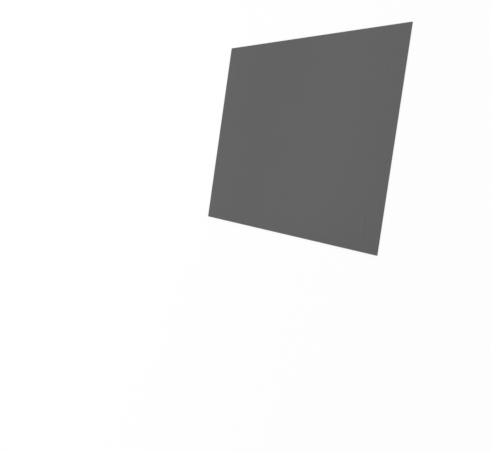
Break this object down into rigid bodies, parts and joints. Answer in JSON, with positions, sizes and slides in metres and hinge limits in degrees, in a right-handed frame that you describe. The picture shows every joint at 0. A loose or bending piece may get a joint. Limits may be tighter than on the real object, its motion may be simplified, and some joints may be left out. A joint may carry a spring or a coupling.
{
  "type": "laptop privacy filter",
  "caption": "Thin flat rectangular sheet of dark see-through film that covers a laptop screen, so that it can be read only from straight in front.",
  "frame": {"origin": "middle of the screen-side face, which is the face that the sheet lies on", "axes": "+X along the width, +Y up the height of the screen, +Z out of the front face towards the reader"},
  "size_m": [0.331, 0.207, 0.0005],
  "materials": {
    "dark_film": "neutral dark grey, see-through, satin anti-glare front"
  },
  "bodies": {
    "root": {"filter_sheet": "dark_film"}
  },
  "joints": []
}
